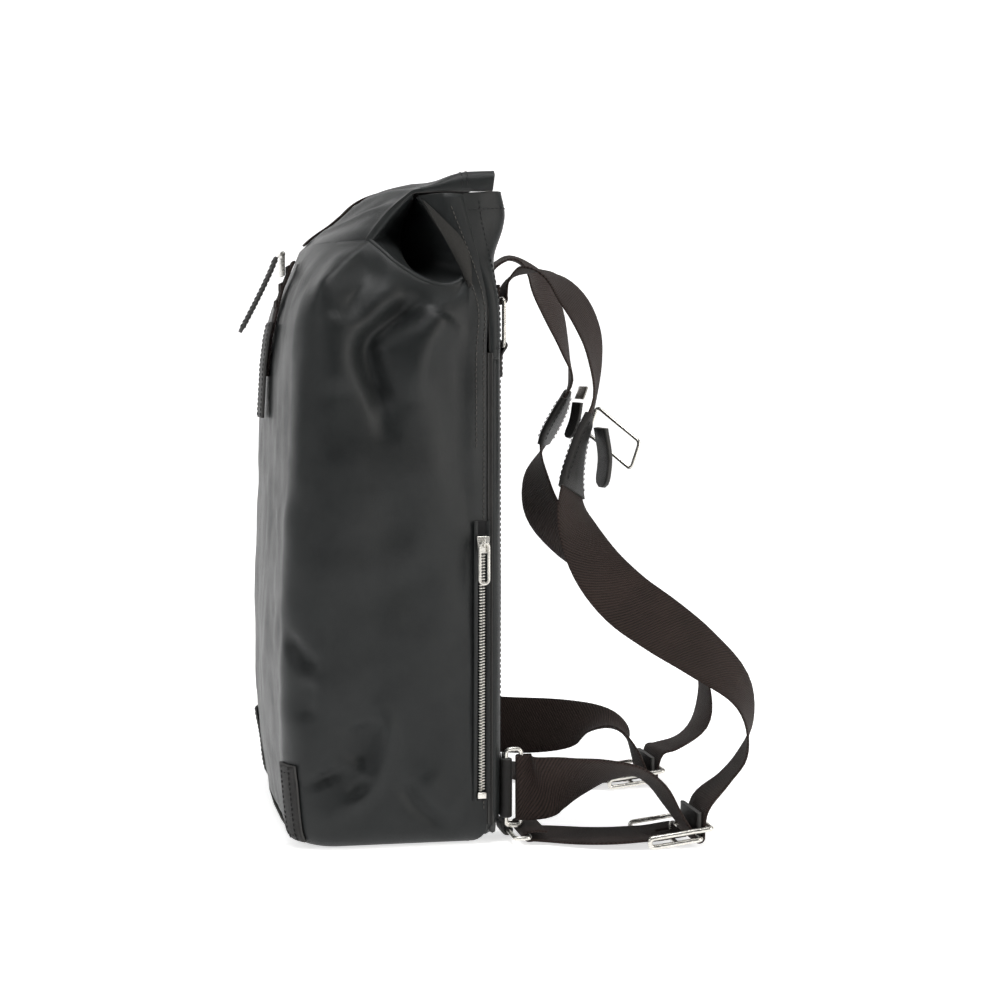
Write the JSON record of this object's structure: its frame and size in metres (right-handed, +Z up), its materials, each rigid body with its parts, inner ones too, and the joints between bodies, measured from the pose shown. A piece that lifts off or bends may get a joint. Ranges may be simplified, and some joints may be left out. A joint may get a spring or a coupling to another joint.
{
  "type": "leather backpack",
  "caption": "Roll-top leather backpack with a padded back, laptop sleeve, side zip, hook and ladder closure, and web shoulder straps with buckles and a chest clasp.",
  "frame": {"origin": "middle of the flat underside of the base", "axes": "+Z up the bag towards the rolled mouth; +Y towards the wearer, where the straps are; +X towards the wearer's right, the side with the zip"},
  "size_m": [0.3393, 0.3801, 0.4667],
  "materials": {
    "bag_leather": "smooth charcoal black leather, satin",
    "trim_leather": "firm black leather, matt, with grey cut edges",
    "webbing": "brown black ribbed webbing",
    "cotton": "grey cotton twill",
    "foam": "foam faced with cloth",
    "board": "fibre board",
    "zip_cloth": "black woven zip tape",
    "nickel": "satin nickel"
  },
  "bodies": {
    "bag": {"main_shell": "bag_leather", "lining": "cotton", "base_panel": "bag_leather", "base_board": "board", "back_panel": "bag_leather", "back_yoke": "bag_leather", "back_pad": "foam", "laptop_sleeve": "cotton", "edge_strip_right": "trim_leather", "edge_strip_left": "trim_leather", "mouth_back_lip": "bag_leather", "gusset_right": "bag_leather", "gusset_left": "bag_leather", "ladder_web": "webbing", "front_patch": "trim_leather", "corner_patch_right": "trim_leather", "corner_patch_left": "trim_leather", "zip_tape": "zip_cloth", "zip_teeth": "nickel", "zip_bottom_stop": "nickel", "shoulder_strap_right": "webbing", "shoulder_strap_left": "webbing", "base_strap_right": "webbing", "base_strap_left": "webbing", "upper_ring_right": "nickel", "upper_ring_left": "nickel", "upper_tab_right": "trim_leather", "upper_tab_left": "trim_leather", "lower_ring_right": "nickel", "lower_ring_left": "nickel", "lower_tab_right": "trim_leather", "lower_tab_left": "trim_leather", "base_ring_right": "nickel", "base_ring_left": "nickel", "base_tab_right": "trim_leather", "base_tab_left": "trim_leather", "buckle_frame_right": "nickel", "buckle_frame_left": "nickel", "web_end_right": "trim_leather", "web_end_left": "trim_leather", "chest_keeper_right": "trim_leather", "chest_keeper_left": "trim_leather", "clasp_loop": "trim_leather", "clasp_tongue": "trim_leather"},
    "mouth": {"mouth_front_lip": "bag_leather", "closing_strap": "webbing"},
    "hook": {"closure_hook": "nickel", "pull_tab": "trim_leather"},
    "slider": {"zip_slider": "nickel"},
    "pull": {"zip_pull": "nickel"},
    "prong_right": {"buckle_prong_right": "nickel"},
    "prong_left": {"buckle_prong_left": "nickel"},
    "frame_right": {"clasp_frame": "nickel"},
    "hook_left": {"clasp_hook": "nickel"}
  },
  "joints": [
    {"name": "mouth_fold", "type": "hinge", "parent": "bag", "child": "mouth", "pos_m": [0, -0.04025, 0.4115], "axis": [1, 0, 0], "range_deg": [0, 70]},
    {"name": "hook_release", "type": "hinge", "parent": "bag", "child": "hook", "pos_m": [0, -0.05734, 0.4085], "axis": [-1, 0, 0], "range_deg": [0, 110]},
    {"name": "zip_run", "type": "slide", "parent": "bag", "child": "slider", "axis": [0, 0, -1], "range_m": [0, 0.16]},
    {"name": "pull_swing", "type": "hinge", "parent": "slider", "child": "pull", "pos_m": [0.15088, 0.065, 0.209], "axis": [0, -1, 0], "range_deg": [0, 150]},
    {"name": "prong_right_lift", "type": "hinge", "parent": "bag", "child": "prong_right", "pos_m": [0.155, 0.19249, 0.00482], "axis": [1, 0, 0], "range_deg": [0, 50]},
    {"name": "prong_left_lift", "type": "hinge", "parent": "bag", "child": "prong_left", "pos_m": [-0.046, 0.21399, 0.00482], "axis": [1, 0, 0], "range_deg": [0, 50]},
    {"name": "clasp_frame_swing", "type": "hinge", "parent": "bag", "child": "frame_right", "pos_m": [0.068, 0.1565, 0.2795], "axis": [-0.6285, -0.55, 0.55], "range_deg": [0, 40]},
    {"name": "clasp_hook_swing", "type": "hinge", "parent": "bag", "child": "hook_left", "pos_m": [-0.074, 0.1827, 0.3025], "axis": [-1, 0, 0], "range_deg": [0, 60]}
  ]
}
